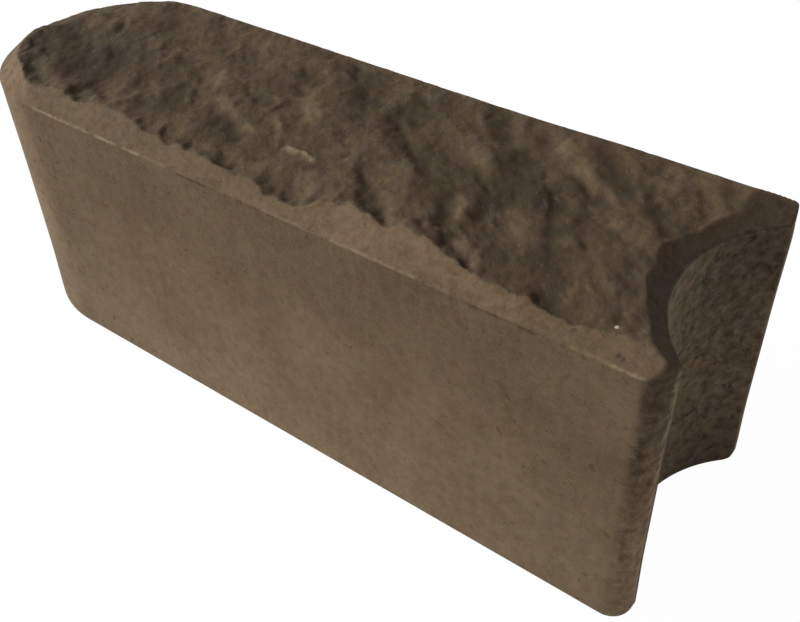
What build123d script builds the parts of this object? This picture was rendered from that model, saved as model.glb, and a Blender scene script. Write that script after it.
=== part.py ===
from build123d import *
import os
from math import atan2, cos, degrees, exp, pi, radians, sin

# One pressed concrete edging stone, cast in one piece.
# The frame has its origin under the middle of the stone, on the bed face.
# X runs from the round end (-X) to the hollow end (+X), Y across, Z up.

# Driving sizes, in millimetres.
stone_width = 100
overall_length = 320
arris_height = 110  # plain faces, from the bed up to the arris
joint_gap = 2  # play between a round end and the hollow end it stands in
hollow_depth = 18
nose_corner_radius = 8
band_width = 8  # sloping band above the arris, measured in plan
band_rise = 6.5
riven_height = 6.7  # mean level of the split top, above the arris
facet_size = 6.5  # spacing of the corners of the split top's facets
facet_shift = 1.6  # how far a corner stands off its even place in plan
facet_relief = 0.35  # how far a corner stands above or below the waves
split_overrun = 10.0  # how far the split runs past the stone
blank_cover = 2.0  # how far the blank stands above the highest lump

# Long waves of the split top: height, wavelength, direction in degrees, phase in degrees.
top_waves = [
    (0.55, 118.0, 20.0, 40.0),
    (0.50, 71.0, -38.0, 200.0),
    (0.42, 46.0, -52.0, 95.0),
    (0.30, 31.0, 61.0, 310.0),
    (0.28, 23.0, -30.0, 10.0),
]

# Torn hollows and standing lumps of the split top, each an oval:
# middle X and Y from the middle of the stone, half length, half width,
# direction of its length in degrees, and height, negative for a hollow.
top_ovals = [
    (17.0, -39.0, 12.0, 8.0, 62.0, -3.6),
    (37.0, -24.0, 9.0, 4.0, -52.0, -3.0),
    (48.0, -36.0, 10.0, 4.0, -50.0, -3.2),
    (71.0, -27.0, 8.0, 4.0, -68.0, -2.2),
    (79.0, -16.0, 7.0, 4.0, -64.0, -2.0),
    (50.0, -12.0, 6.0, 5.0, 0.0, -2.4),
    (80.0, 8.0, 16.0, 6.0, -68.0, -2.0),
    (102.0, 25.0, 14.0, 5.0, -37.0, -2.4),
    (38.0, 2.0, 13.0, 5.0, -20.0, -1.9),
    (55.0, 30.0, 10.0, 6.0, -58.0, -1.7),
    (124.0, -44.0, 10.0, 7.0, -40.0, -2.3),
    (92.0, -43.0, 10.0, 5.0, 0.0, -1.0),
    (-31.0, -2.0, 9.0, 6.0, -30.0, -1.6),
    (-108.0, -21.0, 13.0, 6.0, -50.0, -1.5),
    (-136.0, -3.0, 9.0, 7.0, 30.0, -1.3),
    (-33.0, 23.0, 10.0, 5.0, -20.0, -1.3),
    (50.0, 11.0, 20.0, 5.0, -14.0, 1.2),
    (62.0, -43.0, 9.0, 6.0, 10.0, 1.6),
    (75.0, -33.0, 8.0, 5.0, 0.0, 1.3),
    (12.0, -24.0, 9.0, 4.0, 0.0, 1.2),
    (112.0, 38.0, 34.0, 12.0, 0.0, 1.3),
    (127.0, -22.0, 14.0, 7.0, -60.0, 1.1),
    (-90.0, -37.0, 24.0, 7.0, 4.0, 0.9),
    (-45.0, 7.0, 9.0, 6.0, -20.0, 0.9),
    (-128.0, 24.0, 15.0, 8.0, 25.0, 0.8),
]

# Sizes that follow from the ones above.
round_end_radius = stone_width / 2
hollow_radius = round_end_radius + joint_gap
nose_x = overall_length / 2
round_axis_x = round_end_radius - nose_x
hollow_axis_x = nose_x - hollow_depth + hollow_radius


# Height of the split top above the arris at a place in plan.
def top_height(x, y):
    height = riven_height
    for rise, wavelength, direction, phase in top_waves:
        along = x * cos(radians(direction)) + y * sin(radians(direction))
        height += rise * sin(2 * pi * along / wavelength + radians(phase))
    for middle_x, middle_y, half_length, half_width, direction, rise in top_ovals:
        turn = radians(direction)
        along = (x - middle_x) * cos(turn) + (y - middle_y) * sin(turn)
        across = (y - middle_y) * cos(turn) - (x - middle_x) * sin(turn)
        height += rise * exp(-((along / half_length) ** 2) - (across / half_width) ** 2)
    return height


# Corners of the facets over a length and width centred on the stone. Inside the
# border each one stands off its even place, so that no two facets are alike.
def facet_corners(reach_x, reach_y):
    columns = round(2 * reach_x / facet_size)
    lines = round(2 * reach_y / facet_size)
    corners = []
    for j in range(lines + 1):
        line = []
        for i in range(columns + 1):
            x = 2 * reach_x * i / columns - reach_x
            y = 2 * reach_y * j / lines - reach_y
            if 0 < i < columns and 0 < j < lines:
                x += facet_shift * sin(5.1 * i + 3.7 * j)
                y += facet_shift * sin(2.3 * i - 6.1 * j)
            height = top_height(x, y) + facet_relief * sin(4.3 * i + 7.9 * j)
            line.append(Vector(x, y, arris_height + height))
        corners.append(line)
    return corners


# A length of straight-sided stone with the half-round end, from the round axis to end_x.
def round_ended_plan(end_x):
    straight_length = end_x - round_axis_x
    straight = Pos(round_axis_x, 0) * Rectangle(
        straight_length, stone_width, align=(Align.MIN, Align.CENTER)
    )
    return straight + Pos(round_axis_x, 0) * Circle(round_end_radius)


# The plan of the plain faces: half-round end, straight sides, two rounded noses
# and the hollow between them that takes the next stone's round end.
def stone_plan():
    blank = round_ended_plan(nose_x)
    noses = blank.vertices().filter_by_position(Axis.X, nose_x, nose_x)
    blank = fillet(noses, nose_corner_radius)
    return blank - Pos(hollow_axis_x, 0) * Circle(hollow_radius)


# Each cell of corners makes two flat facets, broken along its more level diagonal.
def split_facets(corners):
    facets = []
    for near, far in zip(corners, corners[1:]):
        for a, b, c, d in zip(near, near[1:], far[1:], far):
            if abs(a.Z - c.Z) < abs(b.Z - d.Z):
                triangles = [(a, b, c), (a, c, d)]
            else:
                triangles = [(a, b, d), (b, c, d)]
            facets += [Face(Wire.make_polygon(triangle)) for triangle in triangles]
    return facets


# The piece that splits off: facets below, a flat lid above and four upright sides.
def waste_piece(lid_rise):
    corners = facet_corners(nose_x + split_overrun, stone_width / 2 + split_overrun)
    lid_height = arris_height + lid_rise
    rims = [
        corners[0],
        [line[-1] for line in corners],
        corners[-1][::-1],
        [line[0] for line in corners[::-1]],
    ]
    faces = split_facets(corners)
    for rim in rims:
        above = [Vector(point.X, point.Y, lid_height) for point in (rim[-1], rim[0])]
        faces.append(Face(Wire.make_polygon(rim + above)))
    lid = [Vector(rim[0].X, rim[0].Y, lid_height) for rim in rims]
    faces.append(Face(Wire.make_polygon(lid)))
    return Solid(Shell(faces))


# Everything above the arris before the top is split off: the blank that
# the sloping band bounds on the long sides, the round end and the hollow.
def banded_blank(blank_rise):
    blank_inset = blank_rise * band_width / band_rise
    band_angle = degrees(atan2(band_width, band_rise))
    upright = Pos(0, 0, arris_height) * extrude(stone_plan(), blank_rise)
    long_plan = round_ended_plan(nose_x + 2 * blank_inset)
    sloped = extrude(Pos(0, 0, arris_height) * long_plan, blank_rise, taper=band_angle)
    hollow_band = Pos(hollow_axis_x, 0, arris_height) * Cone(
        hollow_radius,
        hollow_radius + blank_inset,
        blank_rise,
        align=(Align.CENTER, Align.CENTER, Align.MIN),
    )
    return (upright & sloped) - hollow_band


def edging_stone():
    corners = facet_corners(nose_x, stone_width / 2)
    peak = max(corner.Z for line in corners for corner in line) - arris_height
    blank_rise = peak + blank_cover
    stone = extrude(stone_plan(), arris_height) + banded_blank(blank_rise)
    return stone - waste_piece(2 * blank_rise)


os.makedirs("parts", exist_ok=True)
export_step(edging_stone(), "parts/edging_stone.step")
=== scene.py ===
from math import cos, radians, sin
from types import SimpleNamespace

import bpy
import numpy as np
from mathutils import Matrix, Vector, noise


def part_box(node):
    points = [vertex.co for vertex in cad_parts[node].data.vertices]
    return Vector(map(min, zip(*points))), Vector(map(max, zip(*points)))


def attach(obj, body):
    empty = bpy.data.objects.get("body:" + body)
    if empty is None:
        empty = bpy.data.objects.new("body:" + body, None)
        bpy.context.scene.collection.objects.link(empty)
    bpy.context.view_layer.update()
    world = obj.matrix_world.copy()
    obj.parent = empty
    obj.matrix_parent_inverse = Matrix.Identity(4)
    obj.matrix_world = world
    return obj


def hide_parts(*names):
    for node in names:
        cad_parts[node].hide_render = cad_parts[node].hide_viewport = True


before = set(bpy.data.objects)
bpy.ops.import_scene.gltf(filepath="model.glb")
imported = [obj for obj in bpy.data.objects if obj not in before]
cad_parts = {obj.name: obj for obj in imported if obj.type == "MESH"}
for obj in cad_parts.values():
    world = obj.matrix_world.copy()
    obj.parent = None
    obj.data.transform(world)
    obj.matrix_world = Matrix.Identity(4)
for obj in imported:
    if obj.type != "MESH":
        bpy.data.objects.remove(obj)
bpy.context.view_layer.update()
mm = 0.001  # sizes below are in millimetres, and meshes are written in metres
far = 1000.0  # further than any place on the stone is from another

stone = {
    "columns": 392,  # cells of the top along the stone
    "endColumns": 64,  # of which in the half-round end
    "rows": 128,
    "noseRows": 14,  # of which in each nose
    "arrisHeight": 110.0,
    "hollowDepth": 18.0,
    "jointGap": 2.0,  # the hollow's radius is the round end's and this much more
    "noseCorner": 8.0,
    "bandSlope": 6.5 / 8.0,  # the sloping band rises 6.5 over a width of 8
    "steepBack": (0.15, 60, 110),  # the back band grows steeper by this share, from X to X,
    "steepNose": (0.42, 144, 163),  # and more so on the back nose
    "tipStart": 0.2,  # the worn tip of the front nose: its height above the arris,
    "backTip": 4.2,  # the same on the back nose,
    "tipSlope": 1.9,  # and how steeply both rise from there
    "wornFoot": 3.2,  # the foot of the back nose is worn round by this much,
    "wornTop": 0.5,  # and its top end is blunted by this much,
    "wornTopReach": (7, 3),  # from this far below the arris and in from the end, to this far above
    "arrisRings": (0.35, 0.9, 1.8, 3.0),  # rings of the walls, down from the arris,
    "wallRings": 26,  # evenly spaced,
    "footRings": (3.0, 1.6),  # and up from the bed
    "bedRounding": 0.8,
    "bedTurn": 0.25,  # height of the rounding's middle ring, as a share of it
    "bedSteps": ((0.25, 1.1, 0.16), (0.75, 0.24, 0)),  # share of it inward, from Z down to Z
    "bedRing": 0.97,  # a ring on the bed, at this share of its outline
    # how far the walls draw in, each between two depths below the arris, and the depth
    # from which they come out again to the foot
    "drawIn": (0.12, 0, 0.8),
    "wallHollow": (0.4, 2, 40),
    "footStart": 80,
    "cavityReach": 5,  # cells each way over which the top's hollows are judged
}

# The plan, from the CAD stone's box: the round end is at -X, and the hollow at +X.
lowest, highest = (np.array(corner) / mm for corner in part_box("edging_stone"))
halfLength, halfWidth = ((highest - lowest) / 2)[:2]
roundAxis = halfWidth - halfLength
hollowRadius = halfWidth + stone["jointGap"]
hollowAxis = halfLength - stone["hollowDepth"] + hollowRadius
innerNose = (hollowRadius**2 - (hollowAxis - halfLength) ** 2) ** 0.5  # Y of the hollow's edge

# Width of the smooth band up to the ragged edge of the split: by X along the sides,
# and by Y along the hollow.
bandWidths = {
    "front": [
        (-160, 2), (-158, 3.2), (-156, 4.2), (-153, 5.8), (-150, 7.6), (-145, 9.6), (-140, 9.2),
        (-130, 9.5), (-125, 9), (-120, 7), (-115, 6), (-110, 6.2), (-105, 6.8), (-100, 8),
        (-95, 9.2), (-90, 7), (-85, 7.3), (-80, 9), (-70, 9.5), (-65, 8.5), (-60, 7.8),
        (-50, 7.5), (-40, 5.8), (-30, 6.5), (-20, 7), (-10, 6.5), (-2, 5.6), (2, 6.2), (10, 5),
        (15, 4), (20, 3.2), (25, 4.8), (30, 6.2), (35, 8.3), (45, 10), (55, 9.4), (60, 9),
        (65, 10.8), (75, 10.6), (80, 9), (90, 7), (97, 5.8), (103, 6), (110, 6.6), (115, 6.4),
        (120, 5), (125, 4.8), (130, 4.6), (135, 6), (140, 6.6), (150, 8),
    ],
    "back": [
        (-160, 2), (-150, 3.2), (-144, 4), (-138, 4.8), (-128, 6), (-119, 7.5), (-97, 9),
        (-45, 9.5), (-20, 9), (0, 8.6), (57, 8.6), (75, 9.2), (90, 10),
    ],
    "hollow": [
        (-40, 7), (-33, 5.3), (-29, 6), (-22, 6.3), (-16, 7.1), (-9, 6.3), (-5, 7.4), (0, 8),
        (7, 6.2), (15, 4.5), (22, 5.6), (27, 4.8), (34, 7.5), (39, 9.5),
    ],
}

# Runs of the front arris, from X to X and how strong: a thin pale lip, partly a painted
# highlight, and a thin dark crease, painted shade under the arris. The back arris has the
# same, with X the other way round.
arrisRuns = {
    "lip": [
        (-106, -96, 0.6), (-96, -82, 1.0), (-81, -73, 0.7), (-69, -58, 0.9), (-54, -45, 1.1),
        (-44, -32, 0.35), (15, 42, 0.4), (44, 78, 0.55), (82, 90, 0.4), (131, 142, 0.4),
        (141, 154, 0.8),
    ],
    "crease": [(-26, -8, 1.0), (-4, 20, 0.8), (96, 130, 0.8)],
}

splitTop = {
    "mean": 6.7,  # mean and highest point above the arris
    "highest": 9.4,
    "rimHold": 0.95,  # at its edge the split is held to the edge's height by this share,
    "rimStart": 1.0,  # which fades from this far in
    "rimReach": 9.0,  # over about this much more
    # long waves: height, wavelength, direction and phase in degrees
    "waves": [
        (0.55, 118.0, 20.0, 40.0),
        (0.50, 71.0, -38.0, 200.0),
        (0.42, 46.0, -52.0, 95.0),
        (0.30, 31.0, 61.0, 310.0),
        (0.28, 23.0, -30.0, 10.0),
    ],
    "deepest": 1.25,  # where tears meet they get no deeper than this
    "crestShare": 0.8,  # crests stand up by this share of the heights given below
    "tearsFrom": (-0.5, 4.5),  # tears and crests grow to full between these, in from the edge
    # Torn hollows and standing crests, each along a line: its start X and Y,
    # its end X and Y, its half width, and its depth or its height.
    "tears": [
        (35, -18.5, 47, -32.5, 3.1, 1.84), (46.5, -32.5, 57.5, -40.5, 2.9, 1.92),
        (10, -39, 21, -46, 3.3, 1.12), (18, -34.5, 28, -41.5, 6.6, 1.41),
        (29.5, -41.5, 32.5, -44.5, 2.4, 1.23), (-11, -39.5, -5, -40.5, 3.1, 1.76),
        (-33, -39.5, -28, -40.5, 2.6, 0.75), (-28.5, -19.5, -16.5, -26.5, 2.8, 1.41),
        (-36.5, -20.5, -29.5, -25.5, 2.8, 0.88), (-37.5, 0.5, -23.5, -5.5, 2.8, 1.41),
        (-31.5, -7.5, -24.5, -11.5, 2.4, 0.8), (-33.5, 23, -17.5, 21, 4.4, 0.88),
        (-19, 24.5, -18, 17.5, 1.8, 0.88), (-21.5, 12.5, -16.5, 8.5, 2.2, 0.88),
        (-6.5, 28, 3.5, 17, 4.4, 1.15), (2, 23, 10, 21, 3.3, 0.88), (6, 14, 13, 6, 3.3, 0.7),
        (19.5, 33.5, 26.5, 27.5, 2.6, 1.06), (23.5, 20.5, 31.5, 17.5, 2.9, 1.15),
        (21, 14, 30, 6, 3.3, 1.15), (34, 5, 48, -3, 3.3, 1.58),
        (14.5, -5.5, 21.5, -9.5, 2.4, 0.7), (-4.5, -6.5, 3.5, -11.5, 2.8, 0.7),
        (46, 28, 52, 24, 3.3, 1.06), (49.5, 41.5, 51.5, 34.5, 2.2, 0.7),
        (-16, 40, -8, 34, 3.3, 0.62), (-54.5, -13.5, -44.5, -23.5, 5.5, 0.8),
        (-58.5, -4.5, -51.5, -7.5, 2.2, 0.37), (-40.5, -38.5, -36.5, -43.5, 2.6, 0.5),
        (52.5, -9.5, 54.5, -11, 3.2, 1.94), (67.5, -18.5, 73, -29, 2.4, 1.55),
        (74.5, -7, 80.5, -18, 2.2, 1.15), (74, 19.5, 79, 9.5, 7.2, 1.28),
        (77.5, 9, 81.5, -7, 4.6, 1.76), (62, 4, 75, -3, 3.3, 1.23),
        (54.5, 38, 63.5, 23, 3.9, 1.15), (72, 33, 78, 28, 3.5, 1.06),
        (96.5, 35, 106.5, 25, 4, 1.41), (106.5, 25, 114.5, 17, 4, 1.41),
        (119, 23, 126, 16, 3.5, 1.33), (126.5, 12.5, 132.5, 4.5, 2.2, 0.7),
        (96.5, 15.5, 110.5, 8.5, 2.6, 1.06), (86, 8, 99, 1, 3.7, 0.88),
        (104.5, -15.5, 120.5, -34.5, 5.5, 1.06), (85, -39.5, 91, -42.5, 1.8, 1.23),
        (91, -42.5, 103, -42.5, 1.8, 1.06), (109, -36, 124, -44, 3.3, 1.33),
        (123.5, -44.5, 131.5, -46.5, 2.6, 1.15), (61.5, -32.5, 76.5, -36.5, 2.2, 0.85),
        (76, -36.5, 86, -39.5, 2, 1.15), (91, -25, 100, -34, 3.7, 0.88),
        (97.5, -4.5, 107.5, -13.5, 2.6, 0.7), (110, 1, 111, -8, 3.3, 0.88),
        (112, -10.5, 116, -15.5, 1.4, 0.88), (121.5, -2.5, 125.5, -5.5, 2.2, 0.8),
        (129, -13.5, 134, -14.5, 1.5, 0.62), (143, -37.5, 152, -41.5, 3.1, 1.23),
        (-137, 0, -128, -5, 4.8, 0.85), (-115, -14, -105, -22, 5.1, 0.9),
        (-113.5, -24, -104.5, -29, 3.9, 0.64), (-99.5, -8, -90.5, -19, 4.2, 0.8),
        (-97, -25.5, -83, -33.5, 6.6, 0.66), (-93, -38, -87, -41, 1.8, 0.62),
        (-130, -27.5, -118, -37.5, 3.6, 0.5), (-118.5, -37.5, -109.5, -42.5, 2.8, 0.55),
        (-139.5, -12.5, -131.5, -20.5, 5.5, 0.48), (-130.5, -20.5, -123.5, -24.5, 2.9, 0.64),
        (-77.5, 5.5, -72.5, 2.5, 2.9, 0.69), (-119, 9.5, -116, 4.5, 1.8, 0.59),
        (-130.5, 16.5, -126.5, 13.5, 2.9, 0.42), (-95.5, 3.5, -93.5, -0.5, 2.2, 0.37),
        (-87, 6.5, -83, -2.5, 2, 0.42), (-112.5, 35, -96.5, 20, 4.4, 0.37),
        (-65.5, -26.5, -61.5, -30.5, 2.9, 0.64), (-60.5, -12, -54.5, -22, 3.9, 0.48),
        (-78.5, -33.5, -73.5, -36.5, 2.6, 0.42), (-125.5, -7.5, -122.5, -9.5, 2.2, 0.42),
    ],
    "crests": [
        (4.5, -22, 10, -23.5, 1.4, 1.0), (12, -22.5, 17, -25.5, 1.5, 1.0),
        (-11.5, 6.5, -1.5, -2.5, 4, 0.77), (-6.5, 5.5, -1.5, 0.5, 2.2, 0.51),
        (22.5, -31.5, 27.5, -37.5, 2.2, 1.01), (-39, -11.5, -29, -17.5, 3.1, 0.77),
        (-54, 3.5, -48, -2.5, 2.6, 0.77), (-12.5, -10.5, -3.5, -19.5, 2, 0.68),
        (-18.5, -20, -13.5, -22, 1.8, 0.68), (-13.5, 29, -10.5, 27, 1.8, 0.51),
        (16.5, 34, 17.5, 34, 1.4, 0.68), (46, -12.5, 58, -30.5, 5.5, 0.77),
        (52, 18, 70, 4, 6.6, 0.85), (73.5, -16.5, 77, -24, 2.4, 0.94),
        (89.5, -11.5, 101.5, -20.5, 4, 0.77), (84.5, 29.5, 96.5, 20.5, 4.8, 0.77),
        (96, 20.5, 111, 13.5, 2.9, 0.77), (122.5, 1, 134.5, -27, 7.7, 0.68),
        (134, 37, 144, 21, 6.1, 0.59), (86, -34.5, 93, -38.5, 2.9, 0.85),
        (100.5, 5.5, 102.5, 3.5, 2.2, 0.51), (116.5, 20, 117.5, 18, 1.4, 0.68),
        (108.5, -13, 109.5, -16, 1.8, 0.68), (-132, 28.5, -121, 18.5, 3.5, 0.48),
        (-120, -2.5, -116, -6.5, 2.6, 0.59), (-125.5, 12, -120.5, 3, 1.7, 0.48),
        (-137, 11.5, -130, 5.5, 2.9, 0.41), (-95, 7.5, -89, 1.5, 3.1, 0.41),
        (-82.5, -23.5, -74.5, -31.5, 3.7, 0.54), (-70, -25.5, -68, -33.5, 2.4, 0.54),
        (-105.5, -36.5, -101.5, -38.5, 2.2, 0.48), (-88.5, -35.5, -82.5, -37.5, 2, 0.54),
        (-74.5, 30.5, -67.5, 23.5, 5, 0.3), (-130.5, -14.5, -127.5, -17.5, 2, 0.36),
        (-60.5, 2, -57.5, -1, 1.4, 0.41), (-131.5, -26, -129.5, -28, 1.8, 0.3),
    ],
    # darker patches, in the same way, with how dark they are: partly painted shade of the
    # break's relief, partly its own darker tone
    "shades": [
        (50, 38, 58, 26, 4.5, 0.6), (72, 31, 73, 30, 3.5, 0.6), (71, 17, 78, 0, 6, 0.9),
        (78, 0, 80, -9, 4, 0.8), (61, 2, 72, -4, 3, 0.7), (94, 36, 98, 30, 4, 0.5),
        (98, 30, 109, 19, 4, 0.8), (118, 20, 122, 16, 4, 0.7), (84, 6, 96, 0, 6, 0.6),
        (84, 18, 106, 11, 2.5, 0.4), (36, 0, 48, -5, 4, 0.6), (50, -10.5, 51, -11.5, 3.2, 1.2),
        (101, -15, 117, -40, 5, 0.7), (94, -32, 98, -37, 4, 0.6), (108, -4, 109, -8, 3.5, 0.5),
        (120, -4, 122, -6, 2.2, 0.5), (68.5, -21, 72, -29, 2.2, 0.8),
        (75, -10, 79, -19, 1.8, 0.6), (112, -43, 130, -47, 4, 0.6),
        (60, -34, 76, -36, 2.2, 0.3), (80, -38, 92, -42, 2.5, 0.5), (124, 13, 132, 5, 1.6, 0.5),
        (-12, 31, 6, 17, 6, 0.8), (2, 20, 9, 6, 4, 0.6), (18, 33, 25, 27, 2, 0.6),
        (22, 24, 29, 17, 4, 0.6), (22, 12, 29, 4, 3, 0.6), (-36, 0, -24, -6, 4, 0.6),
        (-38, -21, -20, -28, 5, 0.6), (-25, 12, -19, 8, 2.5, 0.6), (-27, 22, -20, 19, 3, 0.5),
        (-31, -40, -29, -41, 2.5, 0.7), (-11, -41, -9, -42, 3, 0.8),
        (8, -41, 12, -44, 2.5, 0.7), (18, -46, 26, -48, 3, 0.6), (-60, -16, -52, -26, 5, 0.5),
        (-45, -44, -36, -44, 2.5, 0.4), (34, -22, 45, -34, 2.6, 0.5),
        (45, -34, 56, -42, 2.6, 0.5), (-125, -18, -108, -24, 7, 0.7),
        (-108, -24, -92, -32, 8, 0.8), (-112, -8, -98, -16, 5, 0.5),
        (-139, -2, -134, -6, 4.5, 0.7), (-143, 8, -141, 2, 3, 0.5),
        (-139, -17, -128, -24, 4, 0.6), (-132, -32, -115, -43, 4, 0.5),
        (-93, -39, -86, -43, 2.2, 0.45), (-115, 34, -99, 20, 5, 0.4),
        (-78, 4, -74, 1, 2.5, 0.5), (-120, 8, -117, 5, 2, 0.5), (-132, 15, -128, 13, 3, 0.4),
        (-70, -27, -64, -31, 3, 0.5), (-84, -34, -76, -37, 2.5, 0.4),
        (-139, -3, -132, -6, 5, 0.4), (-122, -12, -104, -20, 8, 0.45),
        (-104, -14, -94, -20, 6, 0.35), (-146, -12, -138, -20, 5, 0.5),
        (-140, -18, -128, -30, 5, 0.35), (36, -22, 54, -40, 3.4, 0.4),
        (-135, -10, -95, -14, 16, 0.42), (50, -2, 125, -14, 20, 0.25),
    ],
    # pale streaks, in the same way
    "streaks": [
        (5, -23, 9.5, -24, 1.2, 0.75), (12.5, -23, 17, -25.5, 1.4, 0.85),
        (23, -30, 24.5, -31.5, 1, 0.35), (25, -17, 27, -19.5, 1.2, 0.3),
        (31, -6, 33, -8, 1.4, 0.3), (46, -21, 47, -22, 1.2, 0.3), (3, -15, 5, -17, 1, 0.25),
    ],
    # noises: size, strength or height, and layer, which sets each apart
    "warpX": [(8.0, 1.5, 10.3), (3.2, 0.7, 11.3)],  # these make the lines above ragged
    "warpY": [(8.0, 1.5, 20.7), (3.2, 0.7, 21.7)],
    "borders": [(7.5, 1.5, 30.9), (2.6, 0.35, 31.9)],  # and this the front edge of the split
    "lumps": [(9.0, 0.45, 1.7), (2.6, 0.16, 8.8)],
    "plates": [(8.0, 0.16, 0.06, 4.4), (4.2, 0.06, 0.06, 6.1)],  # size, height, tilt, layer
    "calmBorder": 0.5,  # the other edges are ragged by this share,
    "calmAcross": (-10, 6),  # and the front's edge turns into the back's from Y to Y
    "grainTurn": -48.0,  # the break's grain runs this way, in degrees,
    "grainStretch": 1.7,  # and its lumps and flecks are longer that way by this much
    "edgeRaggedness": 0.45,  # share of the lumps that reaches the edge of the split
}


# Where a corner of the flat grid goes on the plan. Across and up run from -1 to 1.
def planPlace(across, up):
    corner = stone["noseCorner"]
    rowBreak = 1 - 2 * stone["noseRows"] / stone["rows"]
    noseShare = np.clip((abs(up) - rowBreak) / (1 - rowBreak), 0, 1)
    middleShare = np.clip(abs(up) / rowBreak, 0, 1)
    y = innerNose * middleShare + (halfWidth - innerNose) * noseShare

    # straight rows, from the round end's axis to the hollow or to the end of a nose
    hollowX = hollowAxis - np.sqrt(hollowRadius**2 - np.minimum(y, innerNose) ** 2)
    reach = np.where(y < innerNose, hollowX, halfLength)
    columnBreak = stone["endColumns"] / stone["columns"]
    share = (across + 1) / 2
    xStraight = roundAxis + (reach - roundAxis) * (share - columnBreak) / (1 - columnBreak)

    # a square of cells pressed into the half-round end
    inEnd = share < columnBreak
    endX = np.minimum(share / columnBreak - 1, 0)
    endY = y / halfWidth
    xRound = roundAxis + halfWidth * endX * np.sqrt(1 - endY**2 / 2)
    yRound = halfWidth * endY * np.sqrt(1 - endX**2 / 2)

    # and the same into the outer corner of each nose
    cornerX = np.clip((xStraight - halfLength + corner) / corner, 0, 1)
    cornerY = np.clip((y - halfWidth + corner) / corner, 0, 1)
    inCorner = (cornerX > 0) & (cornerY > 0)
    xNose = halfLength - corner + corner * cornerX * np.sqrt(1 - cornerY**2 / 2)
    yNose = halfWidth - corner + corner * cornerY * np.sqrt(1 - cornerX**2 / 2)

    x = np.where(inEnd, xRound, np.where(inCorner, xNose, xStraight))
    y = np.where(inEnd, yRound, np.where(inCorner, yNose, y))
    return x, np.sign(up) * y


# How far each place is in from the arris of the sides and from that of the hollow,
# and how high the band stands above the arris there.
def bandHeight(x, y):
    side = halfWidth - np.where(x < roundAxis, np.hypot(x - roundAxis, y), abs(y))
    hollow = np.hypot(x - hollowAxis, y) - hollowRadius
    slope = np.full_like(x, stone["bandSlope"])
    for share, start, end in (stone["steepBack"], stone["steepNose"]):
        slope *= 1 + share * smoothStep(x, start, end) * (y > 0)
    rise = np.minimum(side * slope, hollow * stone["bandSlope"])

    corner = stone["noseCorner"]
    fromCorner = corner - np.hypot(x - halfLength + corner, abs(y) - halfWidth + corner)
    tip = np.where(abs(y) > halfWidth - corner, fromCorner, halfLength - x)
    tip = np.where(x > halfLength - corner, tip, far)
    start = np.where(y < 0, stone["tipStart"], stone["backTip"])
    rise = np.minimum(rise, start + stone["tipSlope"] * tip)
    return side, hollow, np.maximum(rise, 0)


def smoothStep(value, low, high):
    share = np.clip((value - low) / (high - low), 0, 1)
    return share * share * (3 - 2 * share)


# Sum of the strengths of the runs that a place is in.
def inRuns(place, runs):
    fade = 1.0  # a run comes and goes over this much either side of its ends
    total = np.zeros_like(place)
    for start, end, strength in runs:
        begun = smoothStep(place, start - fade, start + fade)
        total += strength * begun * (1 - smoothStep(place, end - fade, end + fade))
    return total


# Sum of fractal noises over the plan, each with its size, strength and layer, where
# the layer sets it apart from the others.
def noiseSum(x, y, kinds, octaves):
    fading, spacing = 0.9, 2.1  # from one octave to the next
    total = np.zeros_like(x)
    for size, strength, layer in kinds:
        total += strength * np.array([
            noise.fractal(Vector((a / size, b / size, layer)), fading, spacing, octaves)
            for a, b in zip(x.tolist(), y.tolist())
        ])
    return total


# Sum of rounded ridges along lines, each as high as its last number.
def ridges(x, y, lines):
    total = np.zeros_like(x)
    for startX, startY, endX, endY, lineWidth, height in lines:
        runX, runY = endX - startX, endY - startY
        share = ((x - startX) * runX + (y - startY) * runY) / (runX**2 + runY**2)
        share = np.clip(share, 0, 1)
        away = np.hypot(x - startX - share * runX, y - startY - share * runY)
        total += height * np.exp(-((away / lineWidth) ** 2))
    return total


# Small plates of the break: each cell of a Voronoi pattern has a height and a tilt
# of its own, and neighbours run together over a short slope.
def plates(x, y, size, rise, tilt, layer):
    shuffle = 7.3  # parts the chance of a cell from that of its neighbours
    slope = 0.3  # width of the slope, as a share of the size

    def plate(a, b, centre):
        chance = noise.cell_vector(centre * shuffle) * 2 - Vector((1, 1, 1))
        lean = chance.x * (a - centre.x * size) + chance.y * (b - centre.y * size)
        return rise * chance.z + tilt * lean

    heights = []
    for a, b in zip(x.tolist(), y.tolist()):
        away, centres = noise.voronoi(Vector((a / size, b / size, layer)))
        first, second = (plate(a, b, centre) for centre in centres[:2])
        share = min(0.5 + (away[1] - away[0]) / slope, 1)
        heights.append(second + (first - second) * share)
    return np.array(heights)


# How far the ragged edge of the split stands in from the arris beside a place. The
# sides' edge is the front's, and turns into the back's across the stone.
def edgeInset(x, y, sides):
    widths = [np.interp(y if side == "hollow" else x, *zip(*bandWidths[side])) for side in sides]
    ragged = noiseSum(x, y, splitTop["borders"], 2)
    calm = splitTop["calmBorder"]
    if len(sides) == 1:
        return widths[0] + calm * ragged
    away = smoothStep(y, *splitTop["calmAcross"])
    return widths[0] + (widths[1] - widths[0]) * away + (1 - (1 - calm) * away) * ragged
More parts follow.
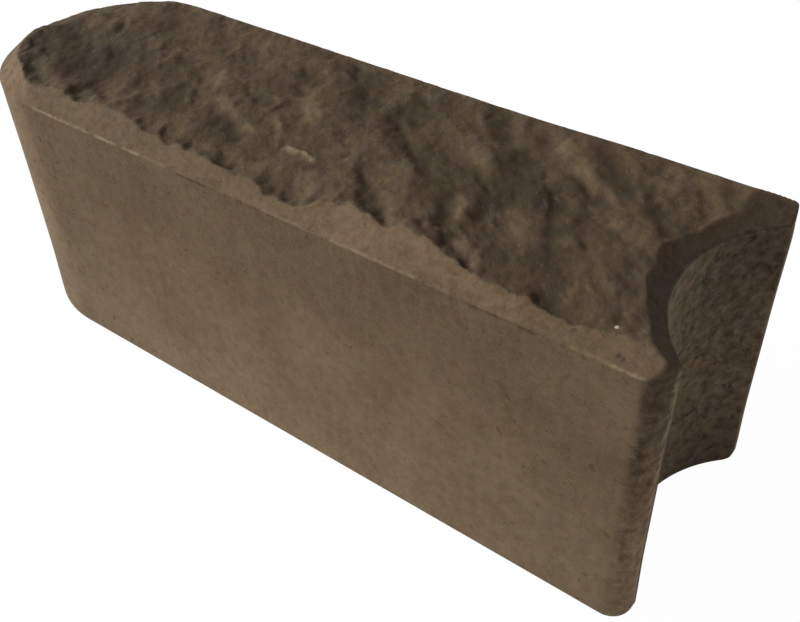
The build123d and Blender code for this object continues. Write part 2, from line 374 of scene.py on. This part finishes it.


# Height of the split top above the arris, and where it is darker (partly painted shade),
# raised or paler.
def splitHeight(x, y, side, hollow):
    height = np.full_like(x, splitTop["mean"])
    for rise, wavelength, direction, phase in splitTop["waves"]:
        along = x * cos(radians(direction)) + y * sin(radians(direction))
        height += rise * np.sin(2 * np.pi * along / wavelength + radians(phase))

    # along its ragged edge the split is as high as the band is there
    inside = np.full_like(x, far)
    for inset, sides in ((side, ("front", "back")), (hollow, ("hollow",))):
        edge = edgeInset(x, y, sides)
        inside = np.minimum(inside, inset - edge)
        past = np.maximum(inset - edge - splitTop["rimStart"], 0)
        share = np.exp(-((past / splitTop["rimReach"]) ** 2))
        height += splitTop["rimHold"] * share * (edge * stone["bandSlope"] - height)

    turn = radians(splitTop["grainTurn"])
    grainX = (x * cos(turn) + y * sin(turn)) / splitTop["grainStretch"]
    grainY = y * cos(turn) - x * sin(turn)
    warpX = noiseSum(grainX, grainY, splitTop["warpX"], 2)
    warpY = noiseSum(grainX, grainY, splitTop["warpY"], 2)
    tears, crests, shade = (
        ridges(x + warpX, y + warpY, splitTop[name]) for name in ("tears", "crests", "shades")
    )
    streaks = ridges(x + warpX * 0.5, y + warpY * 0.5, splitTop["streaks"])
    tears = splitTop["deepest"] * (1 - np.exp(-tears / splitTop["deepest"]))
    lumps = noiseSum(grainX, grainY, splitTop["lumps"], 3)
    lumps += sum(plates(grainX + warpX, grainY + warpY, *kind) for kind in splitTop["plates"])
    full = smoothStep(inside, *splitTop["tearsFrom"])
    ragged = splitTop["edgeRaggedness"]
    height += full * (crests * splitTop["crestShare"] - tears)
    height += (ragged + (1 - ragged) * full) * lumps

    # a soft ceiling
    sharpness = 3
    room = splitTop["highest"] - height
    height = splitTop["highest"] - np.log1p(np.exp(sharpness * room)) / sharpness
    return height, shade, crests, streaks


def readPoints(mesh):
    points = np.empty(len(mesh.vertices) * 3)
    mesh.vertices.foreach_get("co", points)
    return points.reshape(-1, 3)


def writePoints(mesh, points):
    mesh.vertices.foreach_set("co", points.ravel())
    mesh.update()


# Mean of a field over a square of cells about each one.
def blur(field, reach):
    padded = np.pad(field, reach, mode="edge")
    total = np.zeros_like(field)
    width = 2 * reach + 1
    for j in range(width):
        for i in range(width):
            total += padded[j : j + field.shape[0], i : i + field.shape[1]]
    return total / width**2


# How far each place of the top lies under its surroundings. Flat holds the place of
# each point in the grid before it was shaped.
def cavityOf(flat, height):
    columns, rows = stone["columns"], stone["rows"]
    i = np.rint((flat[:, 0] + 1) / 2 * columns).astype(int)
    j = np.rint((flat[:, 1] + 1) / 2 * rows).astype(int)
    field = np.zeros((rows + 1, columns + 1))
    field[j, i] = height
    return (blur(field, stone["cavityReach"]) - field)[j, i]


def extrudeRing(drop):
    bpy.ops.mesh.extrude_region_move(TRANSFORM_OT_translate={"value": (0, 0, -drop)})


def makeStone():
    arris = stone["arrisHeight"]
    bpy.ops.object.select_all(action="DESELECT")
    bpy.ops.mesh.primitive_grid_add(
        x_subdivisions=stone["columns"], y_subdivisions=stone["rows"], size=2, location=(0, 0, 0)
    )
    piece = bpy.context.object
    piece.name = "concreteStone"
    mesh = piece.data
    mesh.name = "concreteStone"
    flat = readPoints(mesh)
    x, y = planPlace(flat[:, 0], flat[:, 1])
    writePoints(mesh, np.stack([x, y, np.full_like(x, arris)], 1) * mm)

    # walls: the rim goes down ring by ring to the bed, and two rings further, of which
    # the last closes to a point
    bpy.ops.object.mode_set(mode="EDIT")
    bpy.ops.mesh.select_mode(type="EDGE")
    bpy.ops.mesh.select_all(action="DESELECT")
    bpy.ops.mesh.select_non_manifold()
    rounding, footRings = stone["bedRounding"], stone["footRings"]
    drops = list(stone["arrisRings"])
    drops += list(np.linspace(drops[-1], arris - footRings[0], stone["wallRings"] + 1)[1:])
    drops += [arris - height for height in footRings[1:]]
    drops += [arris - rounding, arris - stone["bedTurn"] * rounding, arris, arris + 1, arris + 2]
    for last, drop in zip([0] + drops, drops):
        extrudeRing((drop - last) * mm)
    bpy.ops.mesh.merge(type="CENTER")
    bpy.ops.mesh.select_all(action="SELECT")
    bpy.ops.mesh.normals_make_consistent(inside=False)
    bpy.ops.object.mode_set(mode="OBJECT")
    print("stone blocked out:", len(mesh.vertices), "points")

    shapeStone(mesh, flat)
    bpy.ops.object.shade_smooth()
    return piece


def shapeStone(mesh, flat):
    arris = stone["arrisHeight"]
    points = readPoints(mesh) / mm
    top, walls = points[: len(flat)], points[len(flat) :]
    side, hollow, band = bandHeight(top[:, 0], top[:, 1])
    split, shade, crests, streaks = splitHeight(top[:, 0], top[:, 1], side, hollow)
    top[:, 2] = arris + np.minimum(band, split)
    cavity = cavityOf(flat, top[:, 2] - arris)
    print("split top shaped")

    drop = arris - walls[:, 2]
    shapeWalls(walls)
    x, y, z = points.T
    below, above = stone["wornTopReach"]
    blunt = stone["wornTop"] * smoothStep(z, arris - below, arris + above) * (y > 0)
    points[:, 0] -= blunt * smoothStep(x, halfLength - below, halfLength)
    writePoints(mesh, points * mm)
    print("walls shaped")

    # what the concrete reads from the mesh: for it the walls lie well outside the split,
    # and the hollow well below the arris
    none = np.zeros(len(walls))
    outside = np.full(len(walls), -5.0)
    inHollow = (np.hypot(x - hollowAxis, y) < hollowRadius + 1).astype(float)
    pastX = np.maximum(x - halfLength + stone["noseCorner"], 0)
    pastY = np.maximum(stone["noseCorner"] - halfWidth - y, 0)
    fields = {
        "splitDepth": np.concatenate([band - split, outside]),
        "cavity": np.concatenate([cavity, none]),
        "shade": np.concatenate([shade, none]),
        "crests": np.concatenate([crests, none]),
        "streaks": np.concatenate([streaks, none]),
        "arrisDistance": np.concatenate([side, -drop]) - 10 * inHollow,
        "hollowBand": np.concatenate([smoothStep(side - hollow, -1.0, 0.5), none]),
        "inHollow": inHollow,
        "fromNoseEdge": np.hypot(x - halfLength, abs(y) - innerNose),
        "noseTurn": np.arctan2(pastX, pastY) / (np.pi / 2) * (y < 0),
    }
    for name, runs in arrisRuns.items():
        fields[name] = inRuns(np.where(y < 0, x, -x), runs)
    for name, values in fields.items():
        layer = mesh.attributes.new(name, "FLOAT", "POINT")
        layer.data.foreach_set("value", values)


# Draws the walls in by their depth below the arris, rounds them to the bed, wears the
# back nose's foot, and lays the last two rings on the bed, the last in its middle.
def shapeWalls(walls):
    arris = stone["arrisHeight"]
    rounding = stone["bedRounding"]
    z = walls[:, 2].copy()
    drop = arris - z
    inward = np.zeros_like(z)
    aboveFoot = 1 - smoothStep(drop, stone["footStart"], arris - rounding)
    for depth, start, end in (stone["drawIn"], stone["wallHollow"]):
        inward += depth * smoothStep(drop, start, end) * aboveFoot
    for share, high, low in stone["bedSteps"]:
        inward += rounding * share * smoothStep(drop, arris - high, arris - low)
    walls[:, :2] += inward[:, None] * inwardWay(walls)

    radius = stone["wornFoot"]
    worn = radius * (1 - np.sqrt(1 - np.clip(1 - z / radius, 0, 1) ** 2))
    walls[:, 0] = np.minimum(walls[:, 0], halfLength - worn * (walls[:, 1] > 0))

    # the last two rings were left 1 and 2 below the bed
    walls[:, 2] = np.maximum(z, 0)
    onBed = z < -0.5
    walls[onBed, :2] *= np.where(z[onBed] < -1.5, 0, stone["bedRing"])[:, None]


# Level direction from each wall point into the stone.
def inwardWay(points):
    corner = stone["noseCorner"]
    touch = 0.05  # a point this near to a face is on it
    x, y = points[:, 0], points[:, 1]
    way = np.zeros((len(points), 2))
    way[:, 1] = -np.sign(y)
    inEnd = x < roundAxis
    way[inEnd] = np.stack([roundAxis - x, -y], 1)[inEnd]
    centreX, centreY = halfLength - corner, halfWidth - corner
    inCorner = (x > centreX) & (abs(y) >= centreY)
    way[inCorner] = np.stack([centreX - x, np.sign(y) * centreY - y], 1)[inCorner]
    inHollow = np.hypot(x - hollowAxis, y) < hollowRadius + touch
    way[inHollow] = np.stack([x - hollowAxis, y], 1)[inHollow]
    onEnd = (x > halfLength - touch) & ~inHollow & ~inCorner
    way[onEnd] = (-1, 0)
    return way / np.linalg.norm(way, axis=1)[:, None]


concrete = {
    "smooth": (0.186, 0.128, 0.079),
    "smoothDark": (0.112, 0.071, 0.041),
    "split": (0.102, 0.070, 0.042),
    "splitDark": (0.062, 0.042, 0.025),
    "splitLight": (0.245, 0.176, 0.108),
    "streak": (0.340, 0.275, 0.170),
    "lip": (0.360, 0.272, 0.170),
    # casts: of the foot of the faces, from Z down to Z, and of the hollow; and painted
    # shade on the band along it, which is less dark in its far half, from Y to Y
    "footCast": (0.957, 1.0, 1.0),
    "footCastFrom": (90, 10),
    "hollowCast": (0.90, 0.96, 0.99),
    "hollowBand": (0.70, 0.72, 0.765),
    "hollowBandFar": (-10, 15, 0.0, 0.18),
    # runs along the stone: they start at X, are full from X to X and end at X
    "bellyRun": (-105, -55, 60, 160),
    "bandRun": (-30, 20, 105, 130),
    "endRun": (-152, -136, -118, -106),
    # shades: from Z to Z, and how pale at each
    # painted floor light: the faces are paler towards the foot
    "paintedFootLight": (90, 0, 1.0, 1.34),
    "bellyShade": (92, 62, 0.0, 0.17),  # this much more in the lower middle of the faces,
    "bandShade": 0.22,  # in the middle of the sloping band,
    "paintedEndLight": (15, 60, 0.0, 0.25),  # and at the turn of the round end, painted light from the left
    "paintedNoseShade": (35, 106, 1.30, 0.62),  # painted light and shade on the front nose: paler at its foot, darker towards its top
    "paintedHollowShade": (55, 0, 1.0, 0.58),  # painted shade in the hollow, darker towards its foot,
    "hollowSides": (-4, 30, 1.18, 0.74),  # and painted light and shade in its upper part, from Y to Y,
    "hollowSidesFrom": (70, 95),  # which starts and is full at these heights
    "skinShade": 1.7,  # how much lighter and darker the rough skin is, and how much darker its pits are, painted shade in them
    "pitShade": 0.2,
    "pitClouds": 0.1,  # pits are rarer in dark clouds
    "drawnDown": 0.12,  # streaks run down the faces, as Z counts only this much in them
    "moreDents": (-70, -100, 0.0, 0.07),  # dents are closer together, from X to X
    # rough skin, in the hollow, and on the front nose from Z to Z
    "hollowRough": 0.7,
    "noseRough": (0, 90, 0.25, 0.9),
    "noseFrom": (0.04, 0.28),  # the nose starts and is full at these shares of its turn
    # how far from the arris the lip is gone and is full, the same beside the upright
    # edge of the front nose, and for both sides of the crease, below the arris
    "lipWidth": (0.9, 0.25),
    "noseLipWidth": (4.4, 2.2),
    # strength of the painted highlight on the front nose's upright edge
    "noseLip": 0.8,
    "creaseWidth": ((0.0, -0.3), (-1.4, -0.8)),
    # the crease's painted shade, at this strength
    "creaseShade": 0.5,
    # how far these waver: the lip by the grain, the other two by the mottle
    "waver": {"lip": 0.5, "noseLip": 9.0, "crease": 1.2},
    # depths over which the split top goes dark, heights over which it goes pale, depths
    # under the band over which it comes to show, and how uneven its grit makes that
    "splitDeep": (-0.3, 1.1),
    "splitStanding": (-0.3, 0.8),
    "splitBorder": (-0.45, 0.55),
    "borderGrit": 1.2,
    "tinge": (0.42, 0.0, 0.60),  # how much red and blue wander from place to place,
    "tingeShare": 0.5,  # of which the pressed faces outside the hollow have this share
    "tingeSize": 5.0,
    "tingeDetail": 4.0,
    "roughness": 0.88,
    "specular": 0.15,
    # patterns: size, detail and roughness of the noise
    "patterns": {
        "cloud": (34.0, 3.0, 0.5),
        "streak": (2.6, 2.0, 0.5),
        "mottle": (3.4, 4.0, 0.6),
        "grain": (0.9, 2.0, 0.6),
        "pit": (2.1, 2.0, 0.6),
        "hollowPit": (4.0, 3.0, 0.6),
        "dent": (3.0, 1.0, 0.5),
        "grit": (1.1, 3.0, 0.6),
        "lump": (3.6, 3.0, 0.55),
        "patch": (12.0, 3.0, 0.55),
        "fleck": (2.0, 2.0, 0.6),
        "broken": (3.2, 3.0, 0.6),  # of the lip
    },
    # where marks in a pattern start to show, where they are full, and if that isn't from
    # 0 to 1, how strong they are at each
    "marks": {
        "pit": (0.60, 0.68), "hollowPit": (0.57, 0.65), "dent": (0.71, 0.80),
        "fleck": (0.58, 0.72), "broken": (0.36, 0.62, 0.2, 0.8), "streaks": (0.35, 0.60),
        "crease": (0.38, 0.56),
    },
    # how strongly each darkens the pressed faces, from an even tone; pit, hollowPit and dent
    # are painted shade in those small recesses
    "pressedTone": {
        "even": 0.4, "cloud": 1.5, "streak": 0.4, "mottle": 1.2, "grain": 1.1,
        "rough": 1.6, "pit": 0.55, "hollowPit": 0.5, "dent": 0.55, "band": 0.8,
    },
    # how strongly each darkens the split top (cavity is painted shade in its hollows, and the
    # shade patches are partly painted shade), and what makes it paler (standing and crest
    # are partly painted light on its raised parts and crests)
    "splitTone": {"shade": 0.9, "cavity": 0.25, "patch": 0.8, "lump": 0.9, "grit": 0.9},
    "splitPale": {"standing": 0.5, "fleck": 0.22, "crest": 0.35},
    # bump: how far each stands up or lies deep, beside 1 for a dent and the rough skin
    "bumpStrength": 0.5,
    "bumpDepth": 0.4,
    "bump": {"grit": 0.5, "mottle": 0.5, "pit": 0.5, "hollowPit": 0.6, "crease": 0.4, "lip": 0.4},
    # how much of that shows everywhere, and more on the split top and on rough skin
    "bumpShown": {"even": 0.35, "split": 0.8, "rough": 0.4},
    # single grains on the top: X, Y, radius, colour
    "grains": [
        (139.9, -40.4, 0.75, (0.56, 0.50, 0.39)),
        (144.4, -47.4, 0.8, (0.085, 0.054, 0.042)),
        (145.9, -47.9, 0.7, (0.095, 0.062, 0.048)),
    ],
    "grainEdge": (1.3, 0.5),  # a grain is gone and is full at these shares of its radius,
    "grainUneven": 1.6,  # with an edge that is this uneven
}


# Shader maths: a wrapped socket takes the usual signs.
class Wire:
    def __init__(self, paint, socket):
        self.paint = paint
        self.socket = socket

    def __add__(self, other):
        return self.paint.maths("ADD", self, other)

    def __sub__(self, other):
        return self.paint.maths("SUBTRACT", self, other)

    def __mul__(self, other):
        return self.paint.maths("MULTIPLY", self, other)

    def __rsub__(self, other):
        return self.paint.maths("SUBTRACT", other, self)

    __radd__ = __add__
    __rmul__ = __mul__


class Paint:
    def __init__(self, material):
        material.use_nodes = True
        self.tree = material.node_tree
        self.tree.nodes.clear()

    def node(self, kind, settings=None, sockets=None, output=0):
        made = self.tree.nodes.new("ShaderNode" + kind)
        for name, value in (settings or {}).items():
            setattr(made, name, value)
        for name, value in (sockets or {}).items():
            if isinstance(value, Wire):
                self.tree.links.new(value.socket, made.inputs[name])
            else:
                made.inputs[name].default_value = value
        if len(made.outputs) == 0:
            return made
        return Wire(self, made.outputs[output])

    def maths(self, operation, first, second):
        return self.node("Math", {"operation": operation}, {0: first, 1: second})

    def step(self, value, low, high, start=0.0, end=1.0):
        limits = {"From Min": low, "From Max": high, "To Min": start, "To Max": end}
        settings = {"interpolation_type": "SMOOTHSTEP"}
        return self.node("MapRange", settings, {"Value": value, **limits})

    # the same over a place in metres, whose limits are given in millimetres
    def stepMm(self, value, low, high, start=0.0, end=1.0):
        return self.step(value, low * mm, high * mm, start, end)

    # 1 between the two middle limits, in millimetres, and 0 outside the outer two
    def run(self, value, start, full, fade, end):
        return self.stepMm(value, start, full) * self.stepMm(value, end, fade)

    def blend(self, factor, first, second, way="MIX"):
        settings = {"data_type": "RGBA", "blend_type": way}
        return self.node("Mix", settings, {0: factor, 6: first, 7: second}, 2)

    def scale(self, colour, factor):
        return self.node("VectorMath", {"operation": "SCALE"}, {"Vector": colour, "Scale": factor})

    def pattern(self, place, name):
        size, detail, roughness = concrete["patterns"][name]
        look = {"Scale": 1 / (size * mm), "Detail": detail, "Roughness": roughness}
        return self.node("TexNoise", {}, {"Vector": place, **look})

    def attribute(self, name):
        return self.node("Attribute", {"attribute_name": name}, {}, "Fac")


def rgba(colour):
    return (*colour, 1.0)


# The places, masks and patterns that several parts of the concrete share.
def readSurface(paint):
    marks = concrete["marks"]
    place = paint.node("TexCoord", {}, {}, "Object")
    along, across, height = (paint.node("SeparateXYZ", {}, {"Vector": place}, i) for i in range(3))
    cloud, mottle, grain = (paint.pattern(place, name) for name in ("cloud", "mottle", "grain"))
    inHollow = paint.attribute("inHollow")
    onBand = paint.stepMm(height, stone["arrisHeight"] - 1, stone["arrisHeight"] + 1)
    onNose = paint.step(paint.attribute("noseTurn"), *concrete["noseFrom"])
    onNose = onNose * (1 - inHollow) * (1 - onBand)
    rough = inHollow * concrete["hollowRough"]
    rough = rough + onNose * paint.stepMm(height, *concrete["noseRough"])
    pits = paint.pattern(place, "pit") - cloud * concrete["pitClouds"]
    pit = paint.step(pits, *marks["pit"])
    hollowPit = paint.step(paint.pattern(place, "hollowPit"), *marks["hollowPit"]) * inHollow
    dents = paint.pattern(place, "dent") + paint.stepMm(along, *concrete["moreDents"])
    dent = paint.step(dents, *marks["dent"]) * (1 - inHollow)
    return SimpleNamespace(
        place=place, along=along, across=across, height=height, cloud=cloud, mottle=mottle,
        grain=grain, inHollow=inHollow, onBand=onBand, onNose=onNose, rough=rough, pit=pit,
        hollowPit=hollowPit, dent=dent,
    )


# Pressed faces: clouds, streaks drawn down by the mould, fine grain, dark pits and dents
# (painted shade in them), in the hollow and on the nose a rougher skin, and painted light
# and shade: paler towards the foot and at the round end's turn, darker in the hollow, on
# its band and up the front nose.
def pressedColour(paint, surface):
    height, along, across = surface.height, surface.along, surface.across
    inHollow, onBand, rough = surface.inHollow, surface.onBand, surface.rough
    mottle = surface.mottle - 0.5
    scale = (1.0, 1.0, concrete["drawnDown"])
    drawn = paint.node("Mapping", {}, {"Vector": surface.place, "Scale": scale})
    streak = paint.pattern(drawn, "streak")
    share = concrete["pressedTone"]
    tone = (surface.cloud - 0.5) * share["cloud"] + (streak - 0.5) * share["streak"]
    tone = tone + mottle * share["mottle"] + (surface.grain - 0.5) * share["grain"]
    tone = tone + mottle * rough * share["rough"] + surface.pit * share["pit"]
    tone = tone + surface.hollowPit * share["hollowPit"] + surface.dent * share["dent"]
    tone = tone + mottle * onBand * share["band"] + share["even"]
    colour = paint.blend(tone, rgba(concrete["smooth"]), rgba(concrete["smoothDark"]))

    # painted floor light: the faces are paler towards the foot
    shade = paint.stepMm(height, *concrete["paintedFootLight"])
    belly = paint.run(along, *concrete["bellyRun"])
    shade = shade * (belly * paint.stepMm(height, *concrete["bellyShade"]) + 1)
    shade = shade + paint.run(along, *concrete["bandRun"]) * onBand * concrete["bandShade"]
    # painted light from the left: the turn of the round end is paler
    turned = paint.run(along, *concrete["endRun"])
    shade = shade + turned * paint.stepMm(height, *concrete["paintedEndLight"])
    # painted light and shade on the front nose: paler at its foot, darker towards its top
    paintedNoseShade = paint.stepMm(height, *concrete["paintedNoseShade"])
    shade = shade * (surface.onNose * (paintedNoseShade - 1) + 1)

    # painted shade in the hollow: darker towards its foot, and in its upper part darker towards +Y
    hollowSides = paint.stepMm(across, *concrete["hollowSides"])
    hollowSides = paint.stepMm(height, *concrete["hollowSidesFrom"]) * (hollowSides - 1) + 1
    paintedHollowShade = paint.stepMm(height, *concrete["paintedHollowShade"]) * hollowSides
    shade = shade * (inHollow * (1 - onBand) * (paintedHollowShade - 1) + 1)
    skin = mottle * rough * (1 - onBand) * concrete["skinShade"]
    skin = skin + surface.hollowPit * concrete["pitShade"]
    colour = paint.scale(colour, shade * (1 - skin))

    low = paint.stepMm(height, *concrete["footCastFrom"]) * (1 - inHollow)
    # painted shade on the band along the hollow, less dark in its far half
    hollowBand = paint.attribute("hollowBand")
    casts = ((low, "footCast"), (inHollow, "hollowCast"), (hollowBand, "hollowBand"))
    for mask, name in casts:
        colour = paint.blend(mask, colour, rgba(concrete[name]), "MULTIPLY")
    farHalf = paint.stepMm(across, *concrete["hollowBandFar"])
    return paint.scale(colour, hollowBand * farHalf + 1)


# Split face: painted shade in its hollows, darker patches that are partly painted shade,
# paler crests and raised parts that are partly a painted highlight, and pale flecks. Also
# gives the mask of where it shows, and its grit.
def splitColour(paint, surface):
    grained = paint.node("Mapping", {"vector_type": "TEXTURE"}, {
        "Vector": surface.place,
        "Rotation": (0.0, 0.0, radians(splitTop["grainTurn"])),
        "Scale": (splitTop["grainStretch"], 1.0, 1.0),
    })
    grit, lump, patch = (paint.pattern(grained, name) for name in ("grit", "lump", "patch"))
    share = concrete["splitTone"]
    depth = paint.attribute("shade") * share["shade"] + paint.attribute("cavity") * share["cavity"]
    depth = depth + (patch - 0.5) * share["patch"] + (lump - 0.5) * share["lump"]
    depth = depth + (grit - 0.5) * share["grit"]
    dark = paint.step(depth, *concrete["splitDeep"])
    colour = paint.blend(dark, rgba(concrete["split"]), rgba(concrete["splitDark"]))

    marks, share = concrete["marks"], concrete["splitPale"]
    fleck = paint.step(paint.pattern(grained, "fleck"), *marks["fleck"])
    pale = paint.step(depth * -1, *concrete["splitStanding"]) * share["standing"]
    pale = pale + fleck * share["fleck"] + paint.attribute("crests") * share["crest"]
    colour = paint.blend(pale, colour, rgba(concrete["splitLight"]))
    streaks = paint.attribute("streaks") * paint.step(grit, *marks["streaks"])
    colour = paint.blend(streaks, colour, rgba(concrete["streak"]))

    border = paint.attribute("splitDepth") + (grit - 0.5) * concrete["borderGrit"]
    return colour, paint.step(border, *concrete["splitBorder"]), grit


# Masks of the pale lip, on the arris (partly a painted highlight) and on the upright edge
# of the front nose (a painted highlight), of where it is broken, and of the dark crease,
# painted shade, that runs under the arris in places.
def arrisMasks(paint, surface):
    marks, waver, mottle = concrete["marks"], concrete["waver"], surface.mottle - 0.5
    arrisDistance = paint.attribute("arrisDistance")
    shifted = arrisDistance + ((surface.grain - 0.5) * waver["lip"] + mottle)
    away = paint.node("Math", {"operation": "ABSOLUTE"}, {0: shifted})
    lip = paint.step(away, *concrete["lipWidth"]) * paint.attribute("lip")
    noseEdge = paint.attribute("fromNoseEdge") + mottle * waver["noseLip"]
    noseLip = paint.step(noseEdge, *concrete["noseLipWidth"]) * surface.onNose
    lip = lip + noseLip * concrete["noseLip"]
    broken = paint.step(paint.pattern(surface.place, "broken"), *marks["broken"])

    under = arrisDistance + mottle * waver["crease"]
    upper, lower = (paint.step(under, *limits) for limits in concrete["creaseWidth"])
    crease = upper * lower * paint.attribute("crease")
    return lip, broken, crease * paint.step(surface.mottle, *marks["crease"])


def addGrains(paint, surface, colour):
    flat = {0: surface.place, 1: (1.0, 1.0, 0.0)}
    onPlan = paint.node("VectorMath", {"operation": "MULTIPLY"}, flat)
    uneven = (surface.grain + surface.mottle - 1) * concrete["grainUneven"]
    for x, y, radius, shown in concrete["grains"]:
        centre = (x * mm, y * mm, 0.0)
        away = paint.node("VectorMath", {"operation": "DISTANCE"}, {0: onPlan, 1: centre}, "Value")
        limits = (radius * share for share in concrete["grainEdge"])
        near = paint.stepMm(away + uneven * (radius * mm), *limits)
        colour = paint.blend(near * surface.onBand, colour, rgba(shown))
    return colour


# Slight wandering of the hue, at its full on the split top and in the hollow.
def addTinge(paint, surface, colour, isSplit):
    look = {"Scale": 1 / (concrete["tingeSize"] * mm), "Detail": concrete["tingeDetail"]}
    wander = paint.node("TexNoise", {}, {"Vector": surface.place, **look}, "Color")
    least = tuple(1 - share / 2 for share in concrete["tinge"])
    sockets = {0: wander, 1: concrete["tinge"], 2: least}
    tinge = paint.node("VectorMath", {"operation": "MULTIPLY_ADD"}, sockets)
    share = concrete["tingeShare"]
    full = (isSplit + surface.inHollow) * (1 - share) + share
    return paint.blend(full, colour, tinge, "MULTIPLY")


def makeConcrete():
    material = bpy.data.materials.new("concrete")
    paint = Paint(material)
    surface = readSurface(paint)
    split, isSplit, grit = splitColour(paint, surface)
    colour = paint.blend(isSplit, pressedColour(paint, surface), split)
    lip, broken, crease = arrisMasks(paint, surface)
    # the pale lip, partly a painted highlight, and the crease's painted shade
    colour = paint.blend(lip * broken, colour, rgba(concrete["lip"]))
    dark = rgba(concrete["smoothDark"])
    colour = paint.blend(crease * concrete["creaseShade"], colour, dark, "MULTIPLY")
    colour = addGrains(paint, surface, colour)
    colour = addTinge(paint, surface, colour, isSplit)

    share = concrete["bump"]
    relief = grit * share["grit"] + surface.mottle * share["mottle"] - surface.pit * share["pit"]
    relief = relief - surface.hollowPit * share["hollowPit"] - crease * share["crease"]
    relief = relief + lip * share["lip"] - surface.dent * (1 - isSplit)
    relief = relief + surface.mottle * surface.rough
    shown = concrete["bumpShown"]
    relief = relief * (isSplit * shown["split"] + surface.rough * shown["rough"] + shown["even"])
    strength, distance = concrete["bumpStrength"], concrete["bumpDepth"] * mm
    bump = paint.node("Bump", {}, {"Height": relief, "Strength": strength, "Distance": distance})
    shader = paint.node("BsdfPrincipled", {}, {
        "Base Color": colour,
        "Roughness": concrete["roughness"],
        "Specular IOR Level": concrete["specular"],
        "Normal": bump,
    })
    paint.node("OutputMaterial", {}, {"Surface": shader})
    return material


# Distances and sizes are in metres here.
light = {
    "keyTurn": -158.0,  # degrees about the stone, 0 along +X
    "keyRise": 30.0,  # and above level
    "keyDistance": 4.0,
    "keySize": 2.2,
    "keyPower": 195.0,
    "cardTurn": 12.0,  # a small lamp, low beside the hollow end
    "cardRise": 4.0,
    "cardDistance": 1.6,
    "cardSize": 0.8,
    "cardPower": 4.4,
    "fill": 0.14,  # strength of the white world, apart from what the camera sees of it
    "floorSize": 12.0,
    "floorGrey": (0.9, 0.9, 0.9),
    "floorWhite": 0.985,  # how much of the floor's look is plain white
}


def makeStudio():
    bpy.ops.object.select_all(action="DESELECT")
    bpy.ops.mesh.primitive_plane_add(size=light["floorSize"], location=(0, 0, 0))
    floor = bpy.context.object
    floor.name = "floor"
    material = bpy.data.materials.new("floorWhite")
    paint = Paint(material)
    camera = paint.node("LightPath", {}, {}, "Is Camera Ray")
    glossy = paint.node("LightPath", {}, {}, "Is Glossy Ray")
    plain = paint.node("BsdfDiffuse", {}, {"Color": rgba(light["floorGrey"])})
    white = paint.node("Emission", {}, {"Color": (1, 1, 1, 1), "Strength": 1.0})
    share = (camera + glossy) * light["floorWhite"]
    surface = paint.node("MixShader", {}, {0: share, 1: plain, 2: white})
    paint.node("OutputMaterial", {}, {"Surface": surface})
    floor.data.materials.append(material)

    world = bpy.data.worlds.new("studio")
    bpy.context.scene.world = world
    sky = Paint(world)
    camera = sky.node("LightPath", {}, {}, "Is Camera Ray")
    strength = sky.step(camera, 0.0, 1.0, light["fill"], 1.0)
    background = sky.node("Background", {}, {"Color": (1, 1, 1, 1), "Strength": strength})
    sky.node("OutputWorld", {}, {"Surface": background})

    parts = ("Turn", "Rise", "Distance", "Size", "Power")
    for name in ("key", "card"):
        addLamp(name, *(light[name + part] for part in parts))


def addLamp(name, turn, rise, distance, size, power):
    turn, rise = radians(turn), radians(rise)
    toLamp = Vector((cos(turn) * cos(rise), sin(turn) * cos(rise), sin(rise)))
    aim = Vector((0, 0, stone["arrisHeight"] / 2 * mm))
    bpy.ops.object.light_add(type="AREA", location=aim + toLamp * distance)
    lamp = bpy.context.object
    lamp.name = name
    lamp.rotation_euler = toLamp.to_track_quat("Z", "Y").to_euler()
    lamp.data.size = size
    lamp.data.energy = power


view = {
    "place": (223.8, -241.4, 302.1),
    "turn": 38.474,  # degrees to the left of looking along +Y
    "dip": 40.376,
    "roll": 2.173,
    "lens": 46.03,
    "sensor": 36.0,
}


def makeCamera():
    bpy.ops.object.camera_add()
    camera = bpy.context.object
    camera.name = "camera"
    camera.data.sensor_width = view["sensor"]
    camera.data.lens = view["lens"]
    turned = Matrix.Rotation(radians(view["turn"]), 4, "Z")
    dipped = Matrix.Rotation(radians(90 - view["dip"]), 4, "X")
    rolled = Matrix.Rotation(radians(-view["roll"]), 4, "Z")
    camera.matrix_world = Matrix.Translation(Vector(view["place"]) * mm) @ turned @ dipped @ rolled
    bpy.context.scene.camera = camera


stonePiece = makeStone()
stonePiece.data.materials.append(makeConcrete())
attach(stonePiece, "root")
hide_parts("edging_stone")
print("stone finished")

makeStudio()
makeCamera()
bpy.context.scene.view_settings.view_transform = "Standard"
print("studio and camera set")
